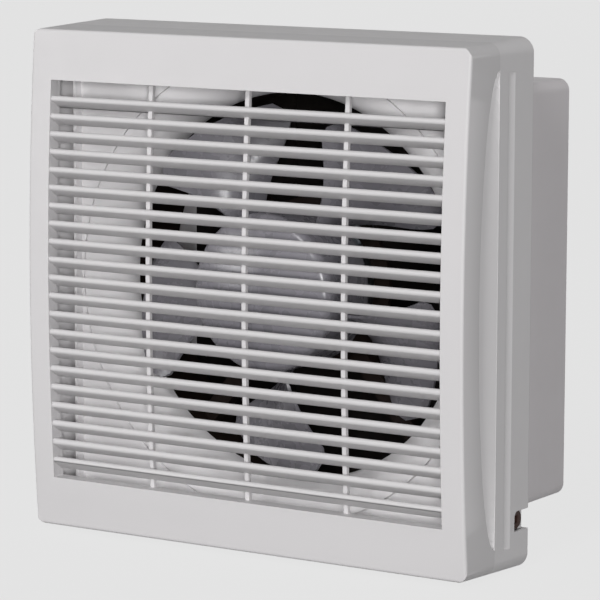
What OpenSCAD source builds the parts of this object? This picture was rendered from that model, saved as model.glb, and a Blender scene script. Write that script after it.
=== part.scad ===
// Window exhaust fan with a pull-off louvre panel, a bell-mouth orifice and rear shutters.
// X is right, Y is back into the wall, Z is up. The origin is on the fan's axis in the wall plane.

/* [Frame] */
// Width and height of the frame where it meets the wall
frame_w = 350; // [346:1:360]
// Depth of the frame from the wall to the front edge
frame_d = 75.5; // [74:0.5:80]
// How far each side draws in towards the front edge
side_draft = 3; // [2:0.25:3.5]
// Corner radius of the frame at the wall
corner_r = 10.5; // [9:0.5:14]
// Wall thickness of the frame, the panel and the duct
wall_t = 2.5; // [2:0.1:2.8]
// Diameter of each wall fixing's hole
fixing_d = 5.5; // [4:0.5:6.5]
// Distance of the wall fixings from the frame's edges
fixing_edge = 17; // [15:0.5:19]

/* [Front panel] */
// Height of the bow across the front face
bow_h = 7.7; // [5:0.1:9]
// Radius that softens the panel's front edges
edge_r = 2.5; // [1.5:0.25:3]
// Depth of the panel's skirt from the front edge to the parting line
skirt_d = 34; // [32:0.5:36]
// Width of the plain border left and right of the louvres
border_x = 20; // [18:0.5:25]
// Width of the plain border above and below the louvres
border_z = 37.5; // [30:0.5:45]
// Number of slats
slat_count = 21; // [15:1:22]
// Downward slope of the slats towards the back
slat_tilt = 40; // [34:1:44]
// Length of a slat across its section
slat_chord = 12; // [11:0.5:13]
// Thickness of a slat at its front nose
slat_nose = 4.4; // [3.2:0.1:4.8]
// Width of an upright rib
rib_w = 3.2; // [2.6:0.1:4]
// Distance of the finger scoop's ends from the frame's corners
scoop_end = 19; // [16:0.5:35]
// How far the scoop cuts into the skirt at its middle
scoop_d = 22.3; // [18:0.1:23]

/* [Orifice] */
// Distance of the orifice plate's edge from the frame's edge
plate_edge = 12.5; // [12:0.25:14]
// Height of the raised lip round the orifice plate
lip_h = 7; // [2:0.5:8]
// Width of the flat between the bell-mouth and the plate's edge
bell_rim = 3; // [3:0.5:5]
// Radius of the bell-mouth's curve
bell_r = 28; // [24:0.5:28]
// Thickness of the orifice moulding
plate_t = 2; // [1.8:0.1:2.4]
// How far the throat reaches behind the wall plane
throat_back = 37.5; // [34:0.5:42]

/* [Fan] */
// Gap between the blade tips and the throat
tip_gap = 6.5; // [5:0.5:10]
// Radius of the fan's hub
hub_r = 54; // [52:0.5:56]
// Number of blades
blade_count = 5; // [4:1:5]
// Thickness of a blade
blade_t = 2.2; // [1.6:0.1:2.6]
// Axial length of a blade
blade_d = 34; // [28:0.5:35]
// Diameter of the motor shaft
shaft_d = 8; // [7:0.5:9]

/* [Motor] */
// Diameter of the motor's shields
motor_d = 84; // [80:1:88]
// Length of the stator core
core_l = 16; // [14:0.5:17]

/* [Duct] */
// Distance of the duct's sides from the frame's edges
duct_side = 26; // [24:0.5:30]
// Distance of the duct's top and bottom from the frame's edges
duct_end = 32; // [31:0.5:36]
// How far the duct sits below the fan axis
duct_drop = 2.5; // [0:0.1:4]
// Length of the duct behind the wall plane
duct_l = 98; // [94:1:110]
// Corner radius of the duct
duct_r = 8; // [6:0.5:14]
// Thickness of a shutter blade
shutter_t = 1.5; // [1.2:0.1:1.8]

/* [Hidden] */

$fn = 96;
// Fine steps for the large bow of the front face
bow_fn = 720;
// Overlap that makes cuts break through cleanly
cut = 1;
// Running clearance of pins and the shaft, on the radius
run_fit = 0.05;
// Clearance between mouldings that slide or drop together
slip_fit = 0.3;
// How far the edge softening stands outside the drafted sides, so that the two cross cleanly
edge_play = 0.05;

// Front panel
front_y = -frame_d;
part_y = front_y + skirt_d;
front_half = frame_w / 2 - side_draft;
bow_r = (front_half * front_half + bow_h * bow_h) / (2 * bow_h);
bow_axis_y = front_y - bow_h + bow_r;
louvre_w = frame_w - 2 * border_x;
louvre_h = frame_w - 2 * border_z;
slat_pitch = louvre_h / (slat_count + 1);
slat_tail = 0.8;
rib_gap = louvre_w / 4;
collar_d = 11;
nose_back = 1.2;
rib_front = 8;
rib_d = 3;
scoop_l = frame_w - 2 * scoop_end;
peg_r = 3;
peg_x = frame_w / 2 - 40;
peg_z = frame_w / 2 - 19;
peg_tip_y = front_y + 49.5;
pull_room = 2.5;

// Frame body
spigot_half = front_half - wall_t - pull_room;
spigot_t = 2;
spigot_in_w = 2 * (spigot_half - spigot_t);
spigot_l = 25;
cavity_r = corner_r - wall_t;
groove_y = part_y + 11;
groove_w = 8;
groove_t = 1.8;
groove_top = frame_w / 2 - 21;
groove_bottom = 17 - frame_w / 2;
notch_d = 17;
notch_top = 40.5 - frame_w / 2;
notch_bottom = 27 - frame_w / 2;
notch_r = 4;
fixing_pos = frame_w / 2 - fixing_edge;

// Orifice plate
plate_y = front_y + 39.5;
plate_w = frame_w - 2 * plate_edge;
throat_r = plate_w / 2 - bell_rim - bell_r;
plate_clip = 19;
bell_mouth_r = throat_r + bell_r;
bell_y = plate_y + bell_r;
lip_w = 2;
line_w = 0.8;
line_r = bell_mouth_r - 1.2;
seat_in_r = line_r - 4.3;
seat_out_r = line_r + 3.7;
seat_t = 1.5;
seat_root = 0.6;
lug_w = 11;
lug_end_r = 6;
socket_wall = 2.5;
socket_l = 10;
plate_screw_x = frame_w / 2 - 75;
plate_screw_z = frame_w / 2 - 19;
plate_screw_l = 10;
post_r = 4.4;
post_y = plate_y + plate_t + seat_t;
screw_r = 1.5;
head_r = 2.9;
head_h = 2;
stay_angle = 40;
stay_w = 12;
stay_front = 6.5;
stay_d = 11.5;
ring_t = 4;
ring_in = motor_d / 2 + 5;
ring_out = ring_in + 12;
ear_r = (ring_in + ring_out) / 2;

// Fan and motor, front to back
tip_r = throat_r - tip_gap;
blade_front = front_y + 44;
hub_t = 2.2;
hub_front = front_y + 28.5;
hub_back = hub_front + 42;
rim_l = 3;
dome_front = front_y + 11;
crown_r = 150;
roll_r = 7;
web_t = 2.5;
web_y = hub_front + 4;
boss_r = 10;
boss_l = 17;
boss_back = hub_front + boss_l;
shaft_r = shaft_d / 2;
pin_r = 1.5;
pin_l = 16;
pin_y = boss_back - 1.5;
nut_r = 7;
nut_h = 6.5;
shaft_front = hub_front - nut_h - 1.5;
damper_t = 2;
ear_t = 3;
lug_r = 7;
ear_y = stay_front + stay_d + damper_t;
core_y = stay_front - 8.5;
core_end = core_y + core_l;
shield_l = 20;
shield_t = 2;
bearing_r = 11;
bearing_l = 7;
house_r = bearing_r + 2;
shaft_back = core_end + shield_l + bearing_l;
core_r = motor_d / 2 + 1;
bore_r = 22;
air_gap = 0.5;
slot_count = 8;
slot_ring = 31;
slot_r = 4.2;
coil_l = 8;
coil_gap = 0.5;
bolt_r = 2;
bolt_ring = motor_d / 2 - 5;
motor_fix_r = 2;

// Duct and shutters
shutter_count = 4;
flange_w = 6;
flange_t = 2;
duct_w = frame_w - 2 * duct_side;
duct_h = frame_w - 2 * duct_end;
duct_screw_z = duct_h / 2 - 53;
duct_in_w = duct_w - 2 * wall_t;
duct_in_h = duct_h - 2 * wall_t;
shutter_y = duct_l - 16;
shutter_top = duct_in_h / 2 - 11.5 - duct_drop;
shutter_pitch = (duct_in_h - 14) / shutter_count;
shutter_lap = 1.5;
shutter_w = duct_in_w - 3;
shutter_clip = 6;
brace_x = duct_w / 2 - 89;
trunnion_r = 2.2;
pivot_skin = 1;
crank_y = -8;
crank_z = 5;
crank_pin_r = 1.5;
tie_x = duct_w / 2 - 39;
tie_w = 6;
tie_t = 2;
tie_gap = 0.3;

// Electrical parts in the strip under the duct
strip_z = -(duct_h / 2 + duct_drop + flange_w + front_half - wall_t) / 2;
cap_size = [38, 22, 11];
cap_x = 45;
block_size = [34, 16, 10];
block_x = frame_w / 2 - 47;
cover_t = 1.2;

bezel_colour = "#d4d4d4";
plate_colour = "#b8b6b7";
body_colour = "#a5a3a4";
fan_colour = "#a6a4a5";
steel_colour = "#8f9296";
dark_colour = "#3a3533";
copper_colour = "#9a5b3a";
brass_colour = "#b89a55";

// Turns a shape drawn in X and Y so that its Y points up and its extrusion runs to the front.
module upright(y) {
    translate([0, y, 0]) rotate([90, 0, 0]) children();
}

// A round bar along Y from y to y + l.
module bar_y(r, y, l) {
    translate([0, y, 0]) rotate([-90, 0, 0]) cylinder(r = r, h = l);
}

// A solid of revolution about Y: its profile has the radius along X and Y along Y.
module turned_y() {
    rotate([-90, 0, 0]) rotate_extrude() children();
}

// A rectangle with round corners, centred.
module round_rect(w, h, r) {
    square([w, h - 2 * r], center = true);
    square([w - 2 * r, h], center = true);
    for (sx = [-1, 1], sz = [-1, 1]) translate([sx * (w / 2 - r), sz * (h / 2 - r)]) circle(r = r);
}

// A rectangle with its corners cut off, centred.
module clipped_rect(w, clip) {
    h = w / 2;
    k = h - clip;
    polygon([[h, -k], [h, k], [k, h], [-k, h], [-h, k], [-h, -k], [-k, -h], [k, -h]]);
}

// Half the frame's width at a given depth, from the draft.
function half_at(y) = frame_w / 2 + side_draft * y / frame_d;

// The drafted block with round corners between two depths, drawn in by inset.
module drafted_block(y0, y1, inset) {
    centre = frame_w / 2 - corner_r;
    hull() for (sx = [-1, 1], sz = [-1, 1]) translate([sx * centre, y0, sz * centre])
        rotate([-90, 0, 0]) cylinder(r1 = half_at(y0) - centre - inset,
            r2 = half_at(y1) - centre - inset, h = y1 - y0, $fn = 64);
}

// A cylinder across the frame whose front is the bowed face, set back by inset.
module bow_cylinder(inset) {
    translate([-frame_w / 2, bow_axis_y, 0]) rotate([0, 90, 0])
        cylinder(r = bow_r - inset, h = frame_w, $fn = bow_fn);
}

// The disc whose rim is the bowed front face, which softens the side edges.
module bow_disc() {
    half = front_half + edge_play;
    deep = skirt_d + bow_h + cut;
    grow = 2 * side_draft * deep / frame_d;
    arc = [for (a = [0:15:90]) [bow_r - edge_r + edge_r * cos(a), half - edge_r + edge_r * sin(a)]];
    right = concat(arc, [[bow_r - deep, half + grow]]);
    left = [for (i = [len(right) - 1:-1:0]) [right[i][0], -right[i][1]]];
    translate([0, bow_axis_y, 0]) rotate([0, 90, 0]) rotate_extrude($fn = bow_fn)
        polygon(concat(right, left));
}

// The side view of the panel, which softens its top and bottom front edges.
module panel_profile() {
    half = front_half + edge_play;
    grow = 2 * side_draft * skirt_d / frame_d;
    arc = [for (a = [0:15:90])
        [front_y + edge_r - edge_r * sin(a), half - edge_r + edge_r * cos(a)]];
    apex = [front_y - 2 * bow_h - cut, 0];
    top = concat([[part_y + cut, half + grow]], arc);
    bottom = [for (i = [len(top) - 1:-1:0]) [top[i][0], -top[i][1]]];
    rotate([90, 0, 90]) translate([0, 0, -frame_w / 2]) linear_extrude(frame_w)
        polygon(concat(top, [apex], bottom));
}

// Where the skirt's edge runs beside the scoop, at height z.
function scoop_edge(z) =
    part_y - scoop_d * sqrt(max(0, 1 - pow(2 * z / scoop_l, 2)));

scoop_steps = 24;
scoop_heights = [for (i = [0:scoop_steps]) -scoop_l / 2 * cos(i * 180 / scoop_steps)];

// ---- Front panel ----

// One slat's section, with its nose at the origin and its tail behind and below.
module slat_section() {
    nose_r = slat_nose / 2;
    span = slat_chord - nose_r - slat_tail;
    nose = [for (a = [90:15:270]) [nose_r * (1 + cos(a)), nose_r * sin(a)]];
    tail = [for (a = [-90:45:90]) [nose_r + span + slat_tail * cos(a), slat_tail * sin(a)]];
    rotate(-slat_tilt) polygon(concat(nose, tail));
}

module slats() {
    for (i = [1:slat_count]) {
        z = louvre_h / 2 - i * slat_pitch;
        y = bow_axis_y - sqrt(bow_r * bow_r - z * z) + nose_back;
        translate([-louvre_w / 2 - cut, y, z]) rotate([90, 0, 90])
            linear_extrude(louvre_w + 2 * cut) slat_section();
    }
}

module ribs() {
    for (i = [-1:1]) translate([i * rib_gap - rib_w / 2, bow_axis_y, 0]) rotate([0, 90, 0])
        intersection() {
            difference() {
                cylinder(r = bow_r - rib_front, h = rib_w, $fn = bow_fn);
                translate([0, 0, -cut])
                    cylinder(r = bow_r - rib_front - rib_d, h = rib_w + 2 * cut, $fn = bow_fn);
            }
            translate([-louvre_h / 2 - cut, -bow_r, -cut])
                cube([louvre_h + 2 * cut, bow_r, rib_w + 2 * cut]);
        }
}

module louvre_collar(grow, y0, y1) {
    upright(y1) linear_extrude(y1 - y0)
        square([louvre_w + 2 * grow, louvre_h + 2 * grow], center = true);
}

module grille_panel() color(bezel_colour) {
    collar_back = front_y + collar_d + cut;
    peg_front = bow_axis_y - sqrt(bow_r * bow_r - peg_z * peg_z) + wall_t / 2;
    difference() {
        union() {
            difference() {
                intersection() {
                    drafted_block(front_y - bow_h - cut, part_y, 0);
                    bow_disc();
                    panel_profile();
                }
                intersection() {
                    drafted_block(front_y - bow_h, part_y + cut, wall_t);
                    bow_cylinder(wall_t);
                }
            }
            difference() {
                intersection() {
                    louvre_collar(wall_t * 0.8, front_y - bow_h, collar_back);
                    bow_cylinder(wall_t / 2);
                }
                bow_cylinder(collar_d);
            }
        }
        louvre_collar(0, front_y - bow_h - cut, collar_back + cut);
        for (side = [-1, 1]) scoop_cut(side);
    }
    slats();
    ribs();
    peg_places() bar_y(peg_r, peg_front, peg_tip_y - peg_front);
}

// The curved cut in the skirt's side that bares the finger scoop.
module scoop_cut(side) {
    edge = [for (z = scoop_heights) [scoop_edge(z), z]];
    translate([side * front_half - 8, 0, 0]) rotate([90, 0, 90]) linear_extrude(16)
        polygon(concat(edge, [[part_y + cut, scoop_l / 2], [part_y + cut, -scoop_l / 2]]));
}

// ---- Frame body ----

// The ramp that leads the fingers behind the skirt, flush at the parting line.
module scoop_ramp(side) {
    steps = len(scoop_heights) - 1;
    deep = spigot_half - 0.5;
    flush = half_at(part_y);
    points = [for (i = [1:steps - 1]) let (z = scoop_heights[i], front = scoop_edge(z) + slip_fit)
        each [[side * deep, front, z], [side * deep, part_y + 0.5, z],
            [side * flush, part_y + 0.5, z], [side * spigot_half, front, z]]];
    last = 4 * (steps - 2);
    quads = [for (i = [0:steps - 3], k = [0:3])
        let (a = 4 * i + k, b = 4 * i + (k + 1) % 4) each [[a, b, b + 4], [a, b + 4, a + 4]]];
    ends = [[0, 3, 2], [0, 2, 1], [last, last + 1, last + 2], [last, last + 2, last + 3]];
    faces = concat(quads, ends);
    polyhedron(points, side < 0 ? [for (f = faces) [f[2], f[1], f[0]]] : faces);
}

// The shallow groove behind the parting line, whose floor ramps up to the back.
module side_groove(side) {
    outer = half_at(groove_y) + cut;
    floor_x = half_at(groove_y) - groove_t;
    back_y = groove_y + groove_w;
    translate([0, 0, groove_bottom]) linear_extrude(groove_top - groove_bottom)
        polygon([[side * floor_x, groove_y], [side * outer, groove_y], [side * outer, back_y],
            [side * half_at(back_y), back_y]]);
}

module cord_notch() {
    top_y = -notch_d + notch_r;
    arc = [for (a = [0:15:90]) [top_y - notch_r * sin(a), notch_top - notch_r + notch_r * cos(a)]];
    translate([frame_w / 2 - 2 * wall_t, 0, 0]) rotate([90, 0, 90]) linear_extrude(2 * wall_t + cut)
        polygon(concat([[cut, notch_top]], arc, [[-notch_d, notch_bottom], [cut, notch_bottom]]));
}

module frame_body() color(body_colour) {
    difference() {
        union() {
            difference() {
                drafted_block(part_y, 0, 0);
                drafted_block(part_y + wall_t, -wall_t, wall_t);
                upright(part_y + wall_t + cut) linear_extrude(wall_t + 2 * cut)
                    round_rect(spigot_in_w, spigot_in_w, cavity_r);
            }
            difference() {
                upright(part_y + cut) linear_extrude(spigot_l + cut)
                    round_rect(2 * spigot_half, 2 * spigot_half, cavity_r);
                upright(part_y + 2 * cut) linear_extrude(spigot_l + 3 * cut)
                    round_rect(spigot_in_w, spigot_in_w, cavity_r - spigot_t);
            }
            for (side = [-1, 1]) scoop_ramp(side);
            plate_screw_places() bar_y(post_r, post_y, -wall_t / 2 - post_y);
        }
        translate([0, 0, -duct_drop]) upright(cut) linear_extrude(wall_t + 2 * cut)
            round_rect(duct_w + 2 * slip_fit, duct_h + 2 * slip_fit, duct_r + slip_fit);
        for (side = [-1, 1]) side_groove(side);
        cord_notch();
        for (sx = [-1, 1], sz = [-1, 1]) {
            translate([sx * fixing_pos, 0, sz * fixing_pos])
                bar_y(fixing_d / 2, -wall_t - cut, wall_t + 2 * cut);
        }
        plate_screw_places() bar_y(screw_r, post_y - cut, plate_screw_l + 2 * cut);
        for (p = duct_screw_places()) translate([p[0], 0, p[1]])
            bar_y(screw_r, -wall_t - cut, wall_t + 2 * cut);
    }
}

// ---- Orifice ----

// The bell-mouth and throat in section: radius along X, depth along Y.
module bell_section() {
    intersection() {
        translate([bell_mouth_r, bell_y]) difference() {
            circle(r = bell_r);
            circle(r = bell_r - plate_t);
        }
        translate([throat_r - cut, plate_y - cut]) square([line_r - throat_r + cut, bell_r + cut]);
    }
    translate([throat_r, bell_y]) square([plate_t, throat_back - bell_y]);
    translate([seat_in_r, plate_y + plate_t - seat_root]) square([line_r - seat_in_r, seat_t + seat_root]);
    translate([seat_in_r, plate_y + plate_t]) square([seat_out_r - seat_in_r, seat_t]);
}

module stays() {
    for (k = [-1, 1], m = [0, 180]) rotate([0, k * stay_angle + m, 0])
        translate([-stay_w / 2, stay_front, ring_out - 1])
            difference() {
                cube([stay_w, stay_d, throat_r - ring_out + 1 + plate_t / 2]);
                translate([plate_t, plate_t, -cut]) cube([stay_w - 2 * plate_t, stay_d, throat_r]);
            }
    difference() {
        bar_y(ring_out, stay_front + stay_d - ring_t, ring_t);
        bar_y(ring_in, stay_front + stay_d - ring_t - cut, ring_t + 2 * cut);
    }
}

module ear_places() {
    for (k = [-1, 1], m = [0, 180]) rotate([0, k * stay_angle + m, 0]) translate([0, 0, ear_r]) children();
}

module plate_screw_places() {
    for (sx = [-1, 1], sz = [-1, 1]) translate([sx * plate_screw_x, 0, sz * plate_screw_z]) children();
}

module peg_places() {
    for (sx = [-1, 1], sz = [-1, 1]) translate([sx * peg_x, 0, sz * peg_z]) children();
}

module orifice_plate() color(plate_colour) {
    difference() {
        union() {
            upright(plate_y + plate_t) linear_extrude(plate_t) clipped_rect(plate_w, plate_clip);
            difference() {
                upright(plate_y + plate_t / 2) linear_extrude(lip_h + plate_t / 2)
                    clipped_rect(plate_w, plate_clip);
                upright(plate_y + plate_t) linear_extrude(lip_h + plate_t + cut)
                    clipped_rect(plate_w - 2 * lip_w, plate_clip - 0.6 * lip_w);
            }
            peg_places() bar_y(peg_r + socket_wall, plate_y + plate_t / 2, plate_t / 2 + socket_l);
        }
        bar_y(line_r + line_w, plate_y - cut - lip_h, plate_t + lip_h + 2 * cut);
        peg_places() bar_y(peg_r + run_fit, plate_y - cut, plate_t + socket_l + 2 * cut);
        plate_screw_places() bar_y(screw_r + slip_fit, plate_y - cut, plate_t + 2 * cut);
    }
}

// The four lugs of the bell mouth that the plate's screws clamp against the body's posts.
module seat_lugs() {
    reach = norm([plate_screw_x, plate_screw_z]);
    for (sx = [-1, 1], sz = [-1, 1]) rotate([0, atan2(sx * plate_screw_x, sz * plate_screw_z), 0])
        translate([-lug_w / 2, plate_y + plate_t, line_r]) cube([lug_w, seat_t, reach - line_r]);
    plate_screw_places() bar_y(lug_end_r, plate_y + plate_t, seat_t);
}

module bell_mouth() color(plate_colour) {
    difference() {
        union() {
            turned_y() bell_section();
            seat_lugs();
            stays();
        }
        plate_screw_places() bar_y(screw_r + slip_fit, plate_y + plate_t - cut, seat_t + 2 * cut);
        ear_places() bar_y(motor_fix_r + run_fit, stay_front - cut, stay_d + 2 * cut);
    }
}

// ---- Duct ----

function duct_screw_places() =
    let (sx = duct_w / 2 + flange_w / 2, sz = duct_h / 2 + flange_w / 2, z = duct_screw_z, d = duct_drop)
        [[0, sz - d], [0, -sz - d], [sx, z - d], [sx, -z - d], [-sx, z - d], [-sx, -z - d]];

module rear_duct() color(body_colour) {
    difference() {
        translate([0, 0, -duct_drop]) difference() {
            union() {
                upright(duct_l) linear_extrude(duct_l + wall_t + flange_t)
                    round_rect(duct_w, duct_h, duct_r);
                upright(-wall_t) linear_extrude(flange_t)
                    round_rect(duct_w + 2 * flange_w, duct_h + 2 * flange_w, duct_r + flange_w);
            }
            upright(duct_l + cut) linear_extrude(duct_l + wall_t + flange_t + 2 * cut)
                round_rect(duct_in_w, duct_in_h, duct_r - wall_t);
        }
        for (i = [0:shutter_count - 1])
            translate([pivot_skin - duct_w / 2, shutter_y, shutter_top - i * shutter_pitch])
                rotate([0, 90, 0]) cylinder(r = trunnion_r + run_fit, h = duct_w - 2 * pivot_skin);
        for (p = duct_screw_places()) translate([p[0], 0, p[1]])
            bar_y(screw_r + slip_fit, -wall_t - flange_t - cut, flange_t + 2 * cut);
    }
}

// ---- Fan ----

// A blade's two edges, as angles from the top and clockwise from the front: where each starts at
// the root, how it sweeps along the blade, and how much it draws back to round the tip.
lead_root = 32.6;
lead_sweep = 0.27;
lead_round = 9;
lead_round_l = 17;
trail_root = 38.7;
trail_swell = 27.5;
trail_swell_l = 63.4;
trail_round = 7;
trail_round_l = 13;
blade_camber = 0.12;
root_short = 8;

function rounding(r, l) = pow(max(0, (r - tip_r + l) / l), 2);
function lead_angle(r) = lead_root - lead_sweep * (r - hub_r) + lead_round * rounding(r, lead_round_l);
function trail_angle(r) = trail_root + trail_swell * sin(min(90, 90 * (r - hub_r) / trail_swell_l))
    - trail_round * rounding(r, trail_round_l);

blade_rows = 10;
blade_cols = 8;
root_r = hub_r - 1;

// A point of the blade's middle surface: s runs from root to tip and u from leading to trailing edge.
function blade_point(s, u) =
    let (r = root_r + s * (tip_r - root_r), a = lead_angle(r) + u * (trail_angle(r) - lead_angle(r)),
        y = blade_front + blade_span(s) * (u - blade_camber * sin(180 * u)))
        [r * sin(a), y, r * cos(a)];

// Axial length of the blade at s: it is shorter at the root.
function blade_span(s) = blade_d - root_short * (1 - s);

// The direction square to the blade's chord at a point.
function blade_normal(s, u) =
    let (r = root_r + s * (tip_r - root_r), turn = trail_angle(r) - lead_angle(r),
        a = lead_angle(r) + u * turn, across = r * turn * PI / 180, deep = blade_span(s),
        l = norm([across, deep]))
        [-deep * cos(a), across, deep * sin(a)] / l;

module blade() {
    row = blade_cols + 1;
    steps = [for (i = [0:blade_rows], j = [0:blade_cols]) [i / blade_rows, j / blade_cols]];
    half = blade_t / 2;
    front = [for (k = steps) blade_point(k[0], k[1]) - half * blade_normal(k[0], k[1])];
    points = concat(front, [for (k = steps) blade_point(k[0], k[1]) + half * blade_normal(k[0], k[1])]);
    shift = len(front);
    grid = [for (i = [0:blade_rows - 1], j = [0:blade_cols - 1]) let (a = i * row + j)
        each [[a, a + row, a + row + 1], [a, a + row + 1, a + 1]]];
    back = [for (f = grid) [f[2] + shift, f[1] + shift, f[0] + shift]];
    rim = concat([for (j = [0:blade_cols]) j], [for (i = [1:blade_rows]) i * row + blade_cols],
        [for (j = [blade_cols - 1:-1:0]) blade_rows * row + j], [for (i = [blade_rows - 1:-1:1]) i * row]);
    wall = [for (k = [0:len(rim) - 1]) let (a = rim[k], b = rim[(k + 1) % len(rim)])
        each [[a, b, b + shift], [a, b + shift, a + shift]]];
    polyhedron(points, concat(grid, back, wall));
}

module impeller() color(fan_colour) {
    difference() {
        union() {
            difference() {
                bar_y(hub_r, hub_front, hub_back - hub_front);
                bar_y(hub_r - hub_t, hub_front - cut, hub_back - hub_front + 2 * cut);
            }
            bar_y(hub_r - hub_t / 2, web_y, web_t);
            bar_y(boss_r, hub_front, boss_back - hub_front);
            for (k = [0:blade_count - 1]) rotate([0, k * 360 / blade_count, 0]) blade();
        }
        bar_y(shaft_r + run_fit, hub_front - cut, boss_back - hub_front + 2 * cut);
        translate([-pin_l / 2 - slip_fit, pin_y - pin_r - run_fit, -pin_r - run_fit])
            cube([pin_l + 2 * slip_fit, boss_back - pin_y + pin_r + cut, 2 * (pin_r + run_fit)]);
    }
}

// The dome in section: a crown that rolls over into the rim, drawn in by inset.
module dome_section(inset) {
    crown_y = dome_front + crown_r;
    roll_x = hub_r - roll_r;
    roll_y = crown_y - sqrt(pow(crown_r - roll_r, 2) - roll_x * roll_x);
    lean = asin(roll_x / (crown_r - roll_r));
    crown = [for (i = [0:12]) let (a = lean * i / 12)
        [(crown_r - inset) * sin(a), crown_y - (crown_r - inset) * cos(a)]];
    roll = [for (i = [1:6]) let (a = lean + (90 - lean) * i / 6)
        [roll_x + (roll_r - inset) * sin(a), roll_y - (roll_r - inset) * cos(a)]];
    polygon(concat(crown, roll, [[hub_r - inset, hub_front], [0, hub_front]]));
}

module spinner() color(fan_colour) {
    difference() {
        turned_y() dome_section(0);
        turned_y() dome_section(hub_t);
    }
    difference() {
        union() {
            bar_y(hub_r - hub_t / 2, hub_front - hub_t, hub_t);
            bar_y(hub_r - hub_t - run_fit, hub_front - hub_t, hub_t + rim_l);
        }
        bar_y(hub_r - 2 * hub_t, hub_front - hub_t - cut, hub_t + rim_l + 2 * cut);
    }
}

module impeller_nut() color(brass_colour) {
    difference() {
        bar_y_hex(nut_r, hub_front - nut_h, nut_h);
        bar_y(shaft_r + run_fit, hub_front - nut_h - cut, nut_h + 2 * cut);
    }
}

// A six-sided bar along Y.
module bar_y_hex(r, y, l) {
    translate([0, y, 0]) rotate([-90, 0, 0]) cylinder(r = r, h = l, $fn = 6);
}

module motor_shaft() color(steel_colour) {
    difference() {
        bar_y(shaft_r, shaft_front, shaft_back - shaft_front);
        translate([-shaft_r - cut, pin_y, 0]) rotate([0, 90, 0])
            cylinder(r = pin_r + run_fit, h = shaft_d + 2 * cut);
    }
}

module drive_pin() color(steel_colour) {
    translate([-pin_l / 2, pin_y, 0]) rotate([0, 90, 0]) cylinder(r = pin_r, h = pin_l);
}

// ---- Motor ----

module motor_rotor() color(steel_colour) {
    difference() {
        union() {
            bar_y(bore_r - air_gap, core_y, core_l);
            bar_y(bore_r - 3, core_y - 3, core_l + 6);
        }
        bar_y(shaft_r + run_fit, core_y - 3 - cut, core_l + 6 + 2 * cut);
    }
}

module stator_core() color(steel_colour) {
    difference() {
        bar_y(core_r, core_y, core_l);
        bar_y(bore_r, core_y - cut, core_l + 2 * cut);
        for (k = [0:slot_count - 1]) rotate([0, k * 360 / slot_count, 0]) translate([0, 0, slot_ring])
            bar_y(slot_r, core_y - cut, core_l + 2 * cut);
        bolt_places() bar_y(bolt_r + slip_fit, core_y - cut, core_l + 2 * cut);
    }
}

module stator_winding() color(copper_colour) {
    for (y = [core_y - coil_gap - coil_l, core_end + coil_gap]) difference() {
        bar_y(slot_ring + slot_r - coil_gap, y, coil_l);
        bar_y(slot_ring - slot_r + coil_gap, y - cut, coil_l + 2 * cut);
    }
    for (k = [0:slot_count - 1]) rotate([0, k * 360 / slot_count, 0]) translate([0, 0, slot_ring])
        bar_y(slot_r - 0.4, core_y - 2, core_l + 4);
}

module bolt_places() {
    for (k = [0:3]) rotate([0, 90 * k + 180 / slot_count, 0]) translate([0, 0, bolt_ring]) children();
}

// A cup with its open end at y, its wall reaching by length, and its bearing housing in the floor.
module shield_cup(length) {
    turned_y() difference() {
        union() {
            square([motor_d / 2, length]);
            translate([0, length - cut]) square([house_r, bearing_l - 2 + cut]);
        }
        translate([-cut, -cut]) square([motor_d / 2 - shield_t + cut, length - shield_t + cut]);
        translate([-cut, 0]) square([bearing_r + cut, length + bearing_l - 3]);
        translate([-cut, length]) square([shaft_r + 1 + cut, bearing_l]);
    }
}

module motor_front_shield() color(steel_colour) {
    difference() {
        translate([0, core_y, 0]) mirror([0, 1, 0]) shield_cup(shield_l);
        bolt_places() bar_y(bolt_r + slip_fit, core_y - shield_l - cut, shield_t + 2 * cut);
    }
}

module motor_rear_shield() color(steel_colour) {
    difference() {
        union() {
            translate([0, core_end, 0]) shield_cup(shield_l);
            difference() {
                ear_places() {
                    bar_y(lug_r, ear_y, ear_t);
                    translate([cut - lug_r, ear_y, motor_d / 2 - shield_t - ear_r])
                        cube([2 * (lug_r - cut), ear_t, ear_r + shield_t - motor_d / 2]);
                }
                bar_y(motor_d / 2 - shield_t / 2, ear_y - cut, ear_t + 2 * cut);
            }
        }
        ear_places() bar_y(motor_fix_r + slip_fit, ear_y - cut, ear_t + 2 * cut);
        bolt_places() bar_y(bolt_r + slip_fit, core_end + shield_l - shield_t - cut, shield_t + 2 * cut);
    }
}

// A ball bearing's two rings and shields, drawn as one turned piece.
module bearing(y) {
    turned_y() translate([0, y]) difference() {
        translate([shaft_r + run_fit, 0]) square([bearing_r - run_fit - shaft_r - run_fit, bearing_l]);
        translate([shaft_r + 2.5, -cut]) square([bearing_r - shaft_r - 5, 1.5]);
        translate([shaft_r + 2.5, bearing_l - 0.5]) square([bearing_r - shaft_r - 5, 1.5]);
    }
}

bearing_front_y = core_y - shield_l - bearing_l + 3;
bearing_back_y = core_end + shield_l - 3;

module front_bearing() color(steel_colour) bearing(bearing_front_y);

module rear_bearing() color(steel_colour) bearing(bearing_back_y);

module motor_bolts() color(steel_colour) {
    bolt_places() {
        bar_y(bolt_r, core_y - shield_l - 1, core_l + 2 * shield_l + 4);
        bar_y(2 * bolt_r, core_y - shield_l - 2.5, 2.5);
        bar_y_hex(2 * bolt_r, core_end + shield_l, 2.5);
    }
}

module motor_dampers() color(dark_colour) {
    ear_places() difference() {
        bar_y(5, ear_y - damper_t, damper_t);
        bar_y(motor_fix_r + slip_fit, ear_y - damper_t - cut, damper_t + 2 * cut);
    }
}

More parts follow.
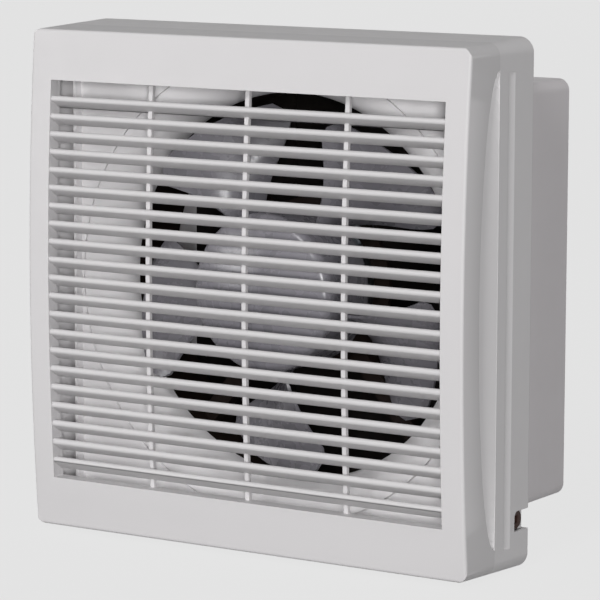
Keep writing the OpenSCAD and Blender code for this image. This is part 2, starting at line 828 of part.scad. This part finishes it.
module motor_screws() color(steel_colour) {
    ear_places() {
        bar_y(motor_fix_r, stay_front + 3, ear_y + ear_t - stay_front - 3);
        bar_y(2 * motor_fix_r, ear_y + ear_t, 2.5);
    }
}

// ---- Electrical parts ----

module run_capacitor() color(dark_colour) {
    translate([cap_x, -wall_t - cap_size[1], strip_z]) translate([-cap_size[0] / 2, 0, -cap_size[2] / 2])
        cube(cap_size);
}

module capacitor_clip() color(steel_colour) {
    w = 10;
    gap = cap_size + [0, slip_fit, 2 * slip_fit];
    translate([cap_x - w / 2, -wall_t - gap[1] - 1, strip_z - gap[2] / 2 - 1]) difference() {
        cube([w, gap[1] + 1, gap[2] + 2]);
        translate([-cut, 1, 1]) cube([w + 2 * cut, gap[1] + cut, gap[2]]);
    }
}

module terminal_block() color("#e8e4da") {
    difference() {
        translate([block_x - block_size[0] / 2, -wall_t - block_size[1], strip_z - block_size[2] / 2])
            cube(block_size);
        for (i = [-1:1]) translate([block_x + i * 10, 0, strip_z])
            bar_y(2.5, -wall_t - block_size[1] - cut, 8 + cut);
    }
}

module terminal_cover() color(plate_colour) {
    room = block_size + [2, 4, 2];
    translate([block_x - room[0] / 2 - cover_t, -wall_t - room[1] - cover_t, strip_z - room[2] / 2 - cover_t])
        difference() {
            cube(room + [2 * cover_t, cover_t, 2 * cover_t]);
            translate([cover_t, cover_t, cover_t]) cube(room + [0, cut, 0]);
        }
}

module plate_screws() color(steel_colour) {
    for (sx = [-1, 1], sz = [-1, 1]) translate([sx * plate_screw_x, 0, sz * plate_screw_z]) {
        bar_y(head_r, plate_y - head_h, head_h);
        bar_y(screw_r, plate_y - head_h / 2, plate_t + plate_screw_l);
    }
}

module duct_screws() color(steel_colour) {
    for (p = duct_screw_places()) translate([p[0], 0, p[1]]) {
        bar_y(head_r, -wall_t - flange_t - head_h, head_h);
        bar_y(screw_r, -wall_t - flange_t - head_h / 2, head_h / 2 + flange_t + wall_t);
    }
}

// ---- Shutters ----

// One shutter blade's section from its pivot: depth along X and height along Y.
module shutter_section() {
    t = shutter_t;
    drop = shutter_pitch;
    polygon([[0, 2.5], [t, 2.5], [t, -drop + 6], [2 * t + 1, -drop + 3], [2 * t + 1, -drop - shutter_lap],
        [t + 1, -drop - shutter_lap], [t + 1, -drop + 3], [0, -drop + 6]]);
}

module shutter(i) color(body_colour) {
    clip = shutter_clip * sqrt(2);
    pivot_end = duct_w / 2 - pivot_skin - slip_fit;
    pivot_l = pivot_end - shutter_w / 2 + 10;
    translate([0, shutter_y, shutter_top - i * shutter_pitch]) {
        difference() {
            translate([-shutter_w / 2, 0, 0]) rotate([90, 0, 90]) linear_extrude(shutter_w)
                shutter_section();
            for (side = [-1, 1]) translate([side * shutter_w / 2, 0, -shutter_pitch - shutter_lap])
                rotate([0, 45, 0]) cube([clip, shutter_pitch / 2, clip], center = true);
        }
        for (side = [-1, 1]) translate([side > 0 ? pivot_end - pivot_l : -pivot_end, 0, 0])
            rotate([0, 90, 0]) cylinder(r = trunnion_r, h = pivot_l);
        for (x = [-brace_x, brace_x]) translate([x - 1, -2, -shutter_pitch + 10])
            cube([2, 2.5, shutter_pitch - 10]);
        translate([tie_x + tie_gap, 0, 0]) rotate([90, 0, 90]) linear_extrude(2)
            polygon([[0.5, -4], [0.5, 2.5], [crank_y + 1, crank_z + 2.5], [crank_y - 2.5, crank_z + 1],
                [crank_y - 2, crank_z - 2]]);
        translate([tie_x - tie_t - 1, crank_y, crank_z]) rotate([0, 90, 0])
            cylinder(r = crank_pin_r, h = tie_t + tie_gap + 2);
    }
}

module shutter_1() shutter(0);

module shutter_2() shutter(1);

module shutter_3() shutter(2);

module shutter_4() shutter(3);

module tie_bar() color(body_colour) {
    top = shutter_top + crank_z + tie_w / 2;
    bar_l = (shutter_count - 1) * shutter_pitch + tie_w;
    difference() {
        translate([tie_x - tie_t, shutter_y + crank_y - tie_w / 2, top - bar_l]) cube([tie_t, tie_w, bar_l]);
        for (i = [0:shutter_count - 1]) {
            z = shutter_top + crank_z - i * shutter_pitch;
            play = i == 0 ? run_fit : tie_gap;
            translate([tie_x - tie_t - cut, shutter_y + crank_y, z]) rotate([0, 90, 0])
                cylinder(r = crank_pin_r + play, h = tie_t + 2 * cut);
        }
    }
}

grille_panel();
frame_body();
orifice_plate();
bell_mouth();
rear_duct();
impeller();
spinner();
impeller_nut();
motor_shaft();
drive_pin();
motor_rotor();
stator_core();
stator_winding();
motor_front_shield();
motor_rear_shield();
front_bearing();
rear_bearing();
motor_bolts();
motor_dampers();
motor_screws();
run_capacitor();
capacitor_clip();
terminal_block();
terminal_cover();
plate_screws();
duct_screws();
shutter_1();
shutter_2();
shutter_3();
shutter_4();
tie_bar();
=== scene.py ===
import math

import bmesh
import bpy
from mathutils import Matrix, Vector


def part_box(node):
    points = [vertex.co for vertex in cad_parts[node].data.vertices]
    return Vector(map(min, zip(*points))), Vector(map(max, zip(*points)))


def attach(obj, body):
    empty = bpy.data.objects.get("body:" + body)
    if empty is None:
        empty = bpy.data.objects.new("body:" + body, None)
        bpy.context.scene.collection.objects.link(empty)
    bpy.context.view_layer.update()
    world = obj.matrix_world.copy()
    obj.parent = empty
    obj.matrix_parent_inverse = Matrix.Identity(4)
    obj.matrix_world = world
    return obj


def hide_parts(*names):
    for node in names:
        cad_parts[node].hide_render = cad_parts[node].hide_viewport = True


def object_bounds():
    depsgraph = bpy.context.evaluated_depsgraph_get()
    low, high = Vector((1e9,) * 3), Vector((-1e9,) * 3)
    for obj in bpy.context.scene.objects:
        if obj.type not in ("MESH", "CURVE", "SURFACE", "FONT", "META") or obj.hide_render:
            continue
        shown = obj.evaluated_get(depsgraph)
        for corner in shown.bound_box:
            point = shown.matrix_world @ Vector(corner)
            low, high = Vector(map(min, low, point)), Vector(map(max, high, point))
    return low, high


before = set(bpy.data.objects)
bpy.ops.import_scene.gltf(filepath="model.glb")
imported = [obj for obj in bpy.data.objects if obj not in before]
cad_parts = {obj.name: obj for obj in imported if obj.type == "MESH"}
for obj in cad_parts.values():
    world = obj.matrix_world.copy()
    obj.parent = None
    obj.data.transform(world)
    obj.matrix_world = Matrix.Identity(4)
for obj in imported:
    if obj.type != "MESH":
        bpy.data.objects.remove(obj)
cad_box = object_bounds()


# ---- Camera ----
# A long lens stands 2.3 m away at the front right, a little above the fan's axis. It is turned by
# the directions that are right and up in the picture.

eye = Vector((1.20131, -1.88466, 0.31647))
right = Vector((0.84228774, 0.53901983, 0.00299716))
up = Vector((-0.08056958, 0.12039858, 0.98945072))
focal_mm, sensor_mm, past_the_floor = 199.03, 36.0, 80.0

scene = bpy.context.scene
lens = bpy.data.cameras.new("camera")
lens.lens = focal_mm
lens.sensor_width = sensor_mm
lens.clip_end = past_the_floor
camera = bpy.data.objects.new("camera", lens)
turn = Matrix((right, up, right.cross(up))).transposed().to_4x4()
camera.matrix_world = Matrix.Translation(eye) @ turn
scene.collection.objects.link(camera)
scene.camera = camera
scene.view_settings.view_transform = "Standard"


# ---- Floor and backdrop ----
# Pale paper runs out of sight under the fan, and a pale wall stands far behind it. The camera and
# reflections see most of the paper as one even grey, and the rest of it shows the fan's shadow.

MM = 0.001
backdrop, room_light = "#e4e4e4", 0.05
paper_glow, glow_share = "#f8f8f8", 0.8
paper_dark, paper_light, blotch_mm = "#747474", "#7a7a7a", 1000.0
floor_half, floor_gap = 30.0, 0.2 * MM


def linear(code):
    """The linear colour of an sRGB hex value."""
    parts = [int(code[i:i + 2], 16) / 255 for i in (1, 3, 5)]
    return [c / 12.92 if c <= 0.04045 else ((c + 0.055) / 1.055) ** 2.4 for c in parts] + [1.0]


def add(tree, kind, sockets=None, **settings):
    """Adds a node, sets its properties, and fills or links its sockets."""
    made = tree.nodes.new(kind)
    for name, value in settings.items():
        setattr(made, name, value)
    for name, value in (sockets or {}).items():
        if isinstance(value, bpy.types.NodeSocket):
            tree.links.new(value, made.inputs[name])
        else:
            made.inputs[name].default_value = value
    return made


def blank(name):
    """A new material with an empty node tree and its output node."""
    made = bpy.data.materials.new(name)
    made.use_nodes = True
    made.node_tree.nodes.clear()
    return made, made.node_tree, made.node_tree.nodes.new("ShaderNodeOutputMaterial")


def seen_directly(tree):
    """1 for what the camera, a reflection or clear glass shows, and 0 for what gives light."""
    ray = add(tree, "ShaderNodeLightPath")
    mirror = add(tree, "ShaderNodeMath", {0: ray.outputs["Is Camera Ray"],
                                          1: ray.outputs["Is Glossy Ray"]}, operation="ADD")
    clear = add(tree, "ShaderNodeMath", {0: mirror.outputs[0],
                                         1: ray.outputs["Is Transmission Ray"]},
                operation="ADD", use_clamp=True)
    return clear.outputs[0]


paper, tree, output = blank("pale_floor_paper")
place = add(tree, "ShaderNodeTexCoord")
blotches = add(tree, "ShaderNodeTexNoise", {"Vector": place.outputs["Object"],
                                            "Scale": 1 / (blotch_mm * MM), "Detail": 3.0})
shade = add(tree, "ShaderNodeMix", {"Factor": blotches.outputs["Fac"], "A": linear(paper_dark),
                                    "B": linear(paper_light)}, data_type="RGBA")
sheet = add(tree, "ShaderNodeBsdfDiffuse", {"Color": shade.outputs["Result"]})
glow = add(tree, "ShaderNodeEmission", {"Color": linear(paper_glow), "Strength": 1.0})
share = add(tree, "ShaderNodeMath", {0: seen_directly(tree), 1: glow_share}, operation="MULTIPLY")
lit = add(tree, "ShaderNodeMixShader", {0: share.outputs[0], 1: sheet.outputs[0],
                                        2: glow.outputs[0]})
tree.links.new(lit.outputs[0], output.inputs["Surface"])

form = bmesh.new()
bmesh.ops.create_grid(form, x_segments=4, y_segments=4, size=floor_half)
bmesh.ops.translate(form, verts=form.verts, vec=(0, 0, cad_box[0][2] - floor_gap))
floor_mesh = bpy.data.meshes.new("floor")
form.to_mesh(floor_mesh)
form.free()
floor = bpy.data.objects.new("floor", floor_mesh)
floor_mesh.materials.append(paper)
scene.collection.objects.link(floor)

world = bpy.data.worlds.new("studio")
world.use_nodes = True
tree = world.node_tree
tree.nodes.clear()
room = add(tree, "ShaderNodeBackground", {"Color": linear("#ffffff"), "Strength": room_light})
wall = add(tree, "ShaderNodeBackground", {"Color": linear(backdrop), "Strength": 1.0})
both = add(tree, "ShaderNodeMixShader", {0: seen_directly(tree), 1: room.outputs[0],
                                         2: wall.outputs[0]})
add(tree, "ShaderNodeOutputWorld", {"Surface": both.outputs[0]})
scene.world = world


# ---- Lamps ----
# The key stands low at the front right and gives the right side two thirds of the front's light.
# One high in front shines in between the slats, a weak one stands low at the left, and a far one
# lights the back.

def lamp(name, place, size, watts):
    """A square soft box, with its side in metres, that faces the fan's middle."""
    data = bpy.data.lights.new(name, "AREA")
    data.size = size
    data.energy = watts
    made = bpy.data.objects.new(name, data)
    made.location = place
    made.rotation_euler = (-Vector(place)).to_track_quat("-Z", "Y").to_euler()
    scene.collection.objects.link(made)


lamp("key_front_right", (4.5, -6.57, 0.84), size=1.3, watts=395.0)
lamp("high_front", (1.0, -5.65, 4.02), size=1.7, watts=203.0)
lamp("low_left", (-1.8, -1.8, 0.25), size=0.8, watts=15.0)
lamp("fill_back", (-2.0, 11.8, 0.5), size=1.2, watts=1150.0)


# ---- Louvre panel ----
# The pull-off front is one injection moulding in ABS. Its mould was polished, so the eye sees an
# even pale grey with soft highlights and faintly rolled edges.

weld = 0.002 * MM                           # points closer than this are one
half_opening_w, half_opening_h = 155.01 * MM, 137.4 * MM
bow_radius, bow_front = 1924.0 * MM, -83.2 * MM
skin_depth = 0.6 * MM                       # the bezel's front face, which stays where it is
slat_rise, slat_reach = 3.7 * MM, 146.6 * MM


def moulded(name, colour, rough, level=0.35, mottle=0.04, deep_mm=0.012):
    """Injection-moulded plastic: faint flow marks, clouds in its gloss, grain and rolled edges.

    A mould's grain is near 0.2 mm. It is drawn at 0.9 mm, as coarse as it needs to show."""
    flow_mm, cloud_mm, grain_mm, edge_mm, plastic_ior = 55.0, 9.0, 0.9, 0.35, 1.53
    glossier, duller = 0.04, 0.05
    made, tree, output = blank(name)
    place = add(tree, "ShaderNodeTexCoord").outputs["Object"]
    flow = add(tree, "ShaderNodeTexNoise", {"Vector": place, "Scale": 1 / (flow_mm * MM),
                                            "Detail": 3.0, "Roughness": 0.45})
    cloud = add(tree, "ShaderNodeTexNoise", {"Vector": place, "Scale": 1 / (cloud_mm * MM),
                                             "Detail": 2.0})
    grain = add(tree, "ShaderNodeTexNoise", {"Vector": place, "Scale": 1 / (grain_mm * MM),
                                             "Detail": 2.0})
    base = linear(colour)
    dull = [c * (1 - mottle) for c in base[:3]] + [1.0]
    tone = add(tree, "ShaderNodeMix", {"Factor": flow.outputs["Fac"], "A": dull, "B": base},
               data_type="RGBA")
    smooth = add(tree, "ShaderNodeMapRange", {"Value": cloud.outputs["Fac"], "From Min": 0.3,
                                              "From Max": 0.7, "To Min": rough - glossier,
                                              "To Max": rough + duller})
    rolled = add(tree, "ShaderNodeBevel", {"Radius": edge_mm * MM}, samples=4)
    bump = add(tree, "ShaderNodeBump", {"Strength": 0.6, "Distance": deep_mm * MM,
                                        "Height": grain.outputs["Fac"],
                                        "Normal": rolled.outputs[0]})
    skin = add(tree, "ShaderNodeBsdfPrincipled", {"Base Color": tone.outputs["Result"],
                                                  "Roughness": smooth.outputs[0],
                                                  "IOR": plastic_ior,
                                                  "Specular IOR Level": level,
                                                  "Normal": bump.outputs[0]})
    tree.links.new(skin.outputs[0], output.inputs["Surface"])
    return made


def sort_by_place(items, place):
    """Puts points or faces in one order, because a spin gives them another in each run."""
    rank = {item: number for number, item in enumerate(sorted(items, key=place))}
    items.sort(key=rank.get)


def finish(name, form, body, materials, stands_for=None, sharp_deg=30.0):
    """Makes a form an object in place, smooth but for its sharp edges, and puts it on its body."""
    sort_by_place(form.verts, lambda vert: vert.co.to_tuple())
    sort_by_place(form.faces, lambda face: face.calc_center_median().to_tuple())
    for face in form.faces:
        face.smooth = True
    for edge in form.edges:
        edge.smooth = edge.is_manifold and edge.calc_face_angle(0.0) < math.radians(sharp_deg)
    mesh = bpy.data.meshes.new(name)
    form.to_mesh(mesh)
    form.free()
    for material in materials:
        mesh.materials.append(material)
    made = bpy.data.objects.new(name, mesh)
    scene.collection.objects.link(made)
    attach(made, body)
    if stands_for:
        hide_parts(stands_for)


def own_copy(name, source, body, materials, change=None, sharp_deg=30.0):
    """A copy of a CAD node with joined faces, smooth over its curves, which stands for it."""
    form = bmesh.new()
    form.from_mesh(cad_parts[source].data)
    bmesh.ops.remove_doubles(form, verts=form.verts, dist=weld)
    bmesh.ops.dissolve_degenerate(form, edges=form.edges, dist=weld)
    for face in form.faces:
        face.material_index = 0
    if change:
        change(form)
    finish(name, form, body, materials, stands_for=source, sharp_deg=sharp_deg)


def raise_slats(form):
    """Each slat grows out along its slope to the bow, so the noses stand higher in the middle."""
    for vert in form.verts:
        x, y, z = vert.co
        behind_bow = y - bow_front - z * z / (2 * bow_radius)
        in_opening = abs(x) < half_opening_w and abs(z) < half_opening_h
        if in_opening and behind_bow > skin_depth:
            vert.co.z += slat_rise * (1 - (z / slat_reach) ** 2)


# Polished ABS: an even, nearly neutral grey with a soft shine.
panel_abs = moulded("polished_abs_panel", "#cac8c9", rough=0.5)
own_copy("louvre_panel", "grille_panel", "grille", [panel_abs], change=raise_slats)


# ---- Frame body ----
# The square body behind the panel is a second moulding in the same ABS, fixed to the wall by four
# screws. Its mould was less polished, so its sides look slightly duller than the panel's.

def dress(material, *nodes):
    """Puts a material on CAD nodes."""
    for name in nodes:
        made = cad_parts[name]
        if not made.material_slots:
            made.data.materials.append(material)
        for slot in made.material_slots:
            slot.material = material


# Satin ABS: the panel's grey with a broader, weaker shine.
body_abs = moulded("satin_abs_body", "#d3d1d2", rough=0.52)
dress(body_abs, "frame_body")


# ---- Cord bush ----
# A rubber bush sits behind the cord notch, with its flange against the body's wall. It is
# one moulded ring, and a cord would pass through its bore. Its dark brown is painted shade,
# standing in for the dark seen through the notch.

bush_y, bush_z, bush_steps = -10.0 * MM, -141.0 * MM, 40
bore_r, tube_r, flange_r = 2.6, 4.8, 6.6
inner_x, flange_x, outer_x = 164.0, 170.2, 171.95
round_mm = 0.4
section = [(bore_r, inner_x), (tube_r - round_mm, inner_x), (tube_r, inner_x + 1.0),
           (tube_r, flange_x), (flange_r, flange_x), (flange_r, outer_x - 0.45),
           (flange_r - round_mm, outer_x), (bore_r + 0.8, outer_x), (bore_r, outer_x - 0.75)]
form = bmesh.new()
line = [form.verts.new((x * MM, bush_y, bush_z + r * MM)) for r, x in section]
cut = [form.edges.new(pair) for pair in zip(line, line[1:] + line[:1])]
bmesh.ops.spin(form, geom=line + cut, cent=(0, bush_y, bush_z), axis=(1, 0, 0),
               angle=2 * math.pi, steps=bush_steps, use_merge=True)
bmesh.ops.recalc_face_normals(form, faces=form.faces)
# Painted shade: a dark brown that hardly shines, so the notch looks dark; the bush itself is
# moulded rubber.
bush_rubber_painted_shade = moulded("painted_shade_cord_bush", "#2e1913", rough=0.7)
finish("cord_bush_painted_shade", form, "housing", [bush_rubber_painted_shade])


# ---- Orifice plate ----
# A flat square plate with a round hole, moulded in pale ABS and coloured paler still as painted
# light. It closes the body's front, and four screws clamp it there together with the bell mouth
# behind it.

# Satin ABS, dull enough to show the slats' shadows softly. It is paler than the body as painted
# light, standing in for the light that reaches the plate and bell between the slats.
orifice_abs_painted_light = moulded("satin_abs_orifice_painted_light", "#f3f1f2", rough=0.5)
dress(orifice_abs_painted_light, "orifice_plate")


# ---- Plate screws ----
# Four pan-head screws with a cross recess clamp the plate and the bell mouth's lugs to the
# body's posts. They are zinc-plated steel with a rolled thread.

def metal(name, colour, rough, band_mm, direction):
    """Bare or plated metal: fine bands across it, dark and dull spots, and rolled edges.

    The marks of a tool are near 0.1 mm apart. They are drawn as coarse as they need to show."""
    spot_mm, edge_mm, deep_mm, darkest = 3.0, 0.2, 0.02, 0.82
    glossier, duller = 0.06, 0.08
    wave = 0.314                            # a wave texture's spacing at a scale of 1
    made, tree, output = blank(name)
    place = add(tree, "ShaderNodeTexCoord").outputs["Object"]
    bands = add(tree, "ShaderNodeTexWave", {"Vector": place, "Distortion": 1.5,
                                            "Scale": wave / (band_mm * MM), "Detail": 2.0},
                bands_direction=direction)
    spots = add(tree, "ShaderNodeTexNoise", {"Vector": place, "Scale": 1 / (spot_mm * MM),
                                             "Detail": 3.0})
    base = linear(colour)
    dark = [c * darkest for c in base[:3]] + [1.0]
    tone = add(tree, "ShaderNodeMix", {"Factor": spots.outputs["Fac"], "A": dark, "B": base},
               data_type="RGBA")
    uneven = add(tree, "ShaderNodeMapRange", {"Value": spots.outputs["Fac"],
                                              "To Min": rough - glossier,
                                              "To Max": rough + duller})
    rolled = add(tree, "ShaderNodeBevel", {"Radius": edge_mm * MM}, samples=4)
    bump = add(tree, "ShaderNodeBump", {"Strength": 0.4, "Distance": deep_mm * MM,
                                        "Height": bands.outputs["Fac"],
                                        "Normal": rolled.outputs[0]})
    skin = add(tree, "ShaderNodeBsdfPrincipled", {"Base Color": tone.outputs["Result"],
                                                  "Metallic": 1.0,
                                                  "Roughness": uneven.outputs[0],
                                                  "Normal": bump.outputs[0]})
    tree.links.new(skin.outputs[0], output.inputs["Surface"])
    return made


def ring_at(y, radius, edges):
    """The edges of the circle of this radius round the Y axis at this height."""
    near = 0.01 * MM
    return [e for e in edges if all(abs(v.co.y - y) < near
                                    and abs(math.hypot(v.co.x, v.co.z) - radius) < near
                                    for v in e.verts)]


def screw_spots(node):
    """Where each screw of a CAD node stands, seen along Y."""
    one_screw = 9 * MM
    groups = []
    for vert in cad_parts[node].data.vertices:
        spot = Vector((vert.co.x, vert.co.z))
        near = [g for g in groups if (g[0] - spot).length < one_screw]
        if near:
            near[0].append(spot)
        else:
            groups.append([spot])
    return [[(min(p[i] for p in g) + max(p[i] for p in g)) / 2 for i in (0, 1)] for g in groups]


def one_screw_form(head, shank):
    """A pan-head screw on the Y axis, head at the front: turned, with a cross sunk in its head."""
    head_r, head_h = head
    shank_r, shank_l = shank
    thread, pitch, flank, plain = 0.25 * MM, 1.0 * MM, 0.6, 0.5 * MM
    crown, steps = 0.62 * head_r, 24
    form = bmesh.new()
    outline = [(0.0, shank_l), (0.4 * shank_r, shank_l)]
    crest = 0
    while shank_l - (crest + 1) * pitch > plain:
        outline.append((shank_r, shank_l - (crest + flank) * pitch))
        outline.append((shank_r - thread, shank_l - (crest + 1) * pitch))
        crest += 1
    outline += [(shank_r, 0.3 * MM), (shank_r, 0.0), (0.92 * head_r, 0.0),
                (head_r, -0.12 * head_h), (head_r, -0.45 * head_h),
                (0.93 * head_r, -0.75 * head_h), (0.8 * head_r, -0.92 * head_h),
                (crown, -head_h)]
    line = [form.verts.new((r, y, 0.0)) for r, y in outline]
    cut = [form.edges.new(pair) for pair in zip(line, line[1:])]
    bmesh.ops.spin(form, geom=line + cut, cent=(0, 0, 0), axis=(0, 1, 0), angle=2 * math.pi,
                   steps=steps, use_merge=True)
    bmesh.ops.remove_doubles(form, verts=form.verts, dist=0.005 * MM)
    rim = ring_at(-head_h, crown, form.edges)
    arm, half, taper, deep = 0.5 * head_r, 0.13 * head_r, 0.7, 0.6 * head_h
    cross = [(half, arm), (half, half), (arm, half), (arm, -half), (half, -half), (half, -arm),
             (-half, -arm), (-half, -half), (-arm, -half), (-arm, half), (-half, half),
             (-half, arm)]
    recess = form.faces.new([form.verts.new((x, -head_h, z)) for x, z in cross])
    bmesh.ops.bridge_loops(form, edges=rim + list(recess.edges))
    pit = bmesh.ops.extrude_discrete_faces(form, faces=[recess])["faces"][0]
    bmesh.ops.scale(form, verts=pit.verts, vec=(taper, 1.0, taper))
    bmesh.ops.translate(form, verts=pit.verts, vec=(0, deep, 0))
    return form


def screws(name, node, head, shank_r, facing, material):
    """Screws that fill a CAD node's places. Facing is 1 with the heads at the front, else -1."""
    low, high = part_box(node)
    head_h = head[1]
    form = one_screw_form(head, (shank_r, high.y - low.y - head_h))
    bmesh.ops.scale(form, verts=form.verts, vec=(1, facing, 1))
    bmesh.ops.recalc_face_normals(form, faces=form.faces)
    seat_y = low.y + head_h if facing > 0 else high.y - head_h
    whole = bmesh.new()
    for x, z in screw_spots(node):
        part = form.copy()
        bmesh.ops.translate(part, verts=part.verts, vec=(x, seat_y, z))
        shape = bpy.data.meshes.new("one_screw")
        part.to_mesh(shape)
        part.free()
        whole.from_mesh(shape)
        bpy.data.meshes.remove(shape)
    form.free()
    finish(name, whole, "housing", [material], stands_for=node)


# Zinc-plated steel: a bluish silver with a cloudy shine.
zinc_steel = metal("zinc_plated_steel", "#aeb2b6", rough=0.38, band_mm=1.2, direction="X")
small_head, small_shank_r = (2.9 * MM, 2.0 * MM), 1.5 * MM
screws("cross_head_plate_screws", "plate_screws", small_head, small_shank_r, 1, zinc_steel)


# ---- Bell mouth and stays ----
# The round inlet, the throat and the motor's four stays are one moulding in the plate's ABS,
# clamped behind the plate. The throat and the stays are coloured near-black as painted shade, so
# only the bell is pale.

throat_r, bell_end = 131.7 * MM, -6.2 * MM


def paint_throat_shade(form):
    """Gives the straight throat's inner wall and what stands inside it the second material, the
    painted shade.
    """
    for face in form.faces:
        middle = face.calc_center_median()
        if middle.y > bell_end and math.hypot(middle.x, middle.z) < throat_r:
            face.material_index = 1


# Painted shade: a warm near-black that shines only faintly, put on the throat and stays so the
# openings look dark.
throat_painted_shade = moulded("painted_shade_throat_black", "#170d08", rough=0.7, level=0.2)
own_copy("bell_mouth_and_stays", "bell_mouth", "housing", [orifice_abs_painted_light, throat_painted_shade],
         change=paint_throat_shade)


# ---- Rear duct ----
# The duct behind the body is a separate box moulded in the same ABS, and goes through the wall or
# the window. Its flange is screwed to the inside of the body's rear wall.

# Unpolished ABS: the same grey, dull and even.
duct_abs = moulded("dull_abs_duct", "#d9d5d7", rough=0.55)
dress(duct_abs, "rear_duct")


# ---- Duct screws ----
# Six more of the small zinc-plated screws hold the duct's flange. They are driven from the front,
# before the orifice plate goes on.

screws("cross_head_duct_screws", "duct_screws", small_head, small_shank_r, 1, zinc_steel)


# ---- Fan ----
# The five-blade impeller and the domed nose over its hub are two glossy mouldings in a stiff
# grey plastic. The nose clips over the nut that holds the impeller on its shaft.

# Glossy SAN: a cool mid grey with small, sharp highlights on the blades.
fan_plastic = moulded("glossy_san_fan", "#7b797f", rough=0.27, level=0.6, mottle=0.02,
                      deep_mm=0.006)
own_copy("five_blade_impeller", "impeller", "fan", [fan_plastic], sharp_deg=35.0)
own_copy("domed_spinner", "spinner", "fan", [fan_plastic], sharp_deg=35.0)


# ---- Shutters ----
# Four shutter blades close the duct's end, each on its own pivots, and a tie bar links their
# crank pins. All five are thin plastic mouldings, coloured near-black as painted shade for the
# dark inside the duct.

# Painted shade: a near-black plastic with a weak, broad shine, so the duct's end looks dark.
shutter_painted_shade = moulded("painted_shade_shutter_plastic", "#120e0c", rough=0.6, level=0.2)
dress(shutter_painted_shade, "shutter_1", "shutter_2", "shutter_3", "shutter_4", "tie_bar")


# ---- Motor screws ----
# Four larger pan-head screws hold the motor to its stays through rubber dampers. They are the
# same zinc-plated steel, and their heads face the back.

large_head, large_shank_r = (4.0 * MM, 2.5 * MM), 2.0 * MM
screws("cross_head_motor_screws", "motor_screws", large_head, large_shank_r, -1, zinc_steel)


# ---- Motor ----
# Two pressed shields of zinc-plated steel close the motor, drawn together by long bolts over a
# core of stacked steel sheets. The shaft runs in a ball bearing in each shield, and a brass nut
# holds the impeller on its end.

dress(zinc_steel, "motor_front_shield", "motor_rear_shield", "motor_bolts")
# Ground steel: bright, with fine rings from the wheel.
ground_steel = metal("ground_steel", "#b8bcc0", rough=0.24, band_mm=0.8, direction="Y")
dress(ground_steel, "motor_shaft", "drive_pin", "front_bearing", "rear_bearing")
# Stamped steel sheets: dark and dull, with a line between sheet and sheet.
core_steel = metal("laminated_core_steel", "#7c8084", rough=0.45, band_mm=1.0, direction="Y")
dress(core_steel, "stator_core", "motor_rotor")
# Enamelled copper wire: a warm red brown with the turns as fine lines.
copper_wire = metal("enamelled_copper_wire", "#b06a42", rough=0.3, band_mm=0.9, direction="Y")
dress(copper_wire, "stator_winding")
# Turned brass: yellow and bright, with close turning marks.
brass = metal("turned_brass", "#c8a860", rough=0.25, band_mm=0.6, direction="Y")
dress(brass, "impeller_nut")
# Moulded rubber: nearly black, and almost without shine.
dampers = moulded("damper_rubber", "#262424", rough=0.75)
dress(dampers, "motor_dampers")


# ---- Electrical parts ----
# The run capacitor under its bent steel clip and the terminal block under its cover stand on the
# inside of the body's rear wall, below the duct. Case, block and cover are moulded in plastic.

def rounded_copy(name, source, material, round_mm):
    """A copy of a CAD node whose edges have a small round, as moulded and bent parts have."""
    flat, corner = math.radians(1.0), math.radians(40.0)

    def round_edges(form):
        bmesh.ops.dissolve_limit(form, angle_limit=flat, verts=form.verts, edges=form.edges)
        edges = [e for e in form.edges if e.is_manifold and e.calc_face_angle(0.0) > corner]
        bmesh.ops.bevel(form, geom=edges, offset=round_mm * MM, offset_type="OFFSET",
                        affect="EDGES", segments=3, profile=0.5, material=-1,
                        clamp_overlap=True)

    own_copy(name, source, "housing", [material], change=round_edges, sharp_deg=50.0)


# Moulded case plastic: dark grey and half dull.
case_plastic = moulded("capacitor_case_plastic", "#3a3a3c", rough=0.5)
rounded_copy("potted_capacitor", "run_capacitor", case_plastic, round_mm=0.9)
# Moulded terminal plastic: a warm off-white with a soft shine.
block_plastic = moulded("terminal_block_plastic", "#e4e0d6", rough=0.45)
rounded_copy("three_way_terminal_block", "terminal_block", block_plastic, round_mm=0.5)
rounded_copy("clipped_terminal_cover", "terminal_cover", body_abs, round_mm=0.4)
rounded_copy("bent_capacitor_clip", "capacitor_clip", zinc_steel, round_mm=0.2)
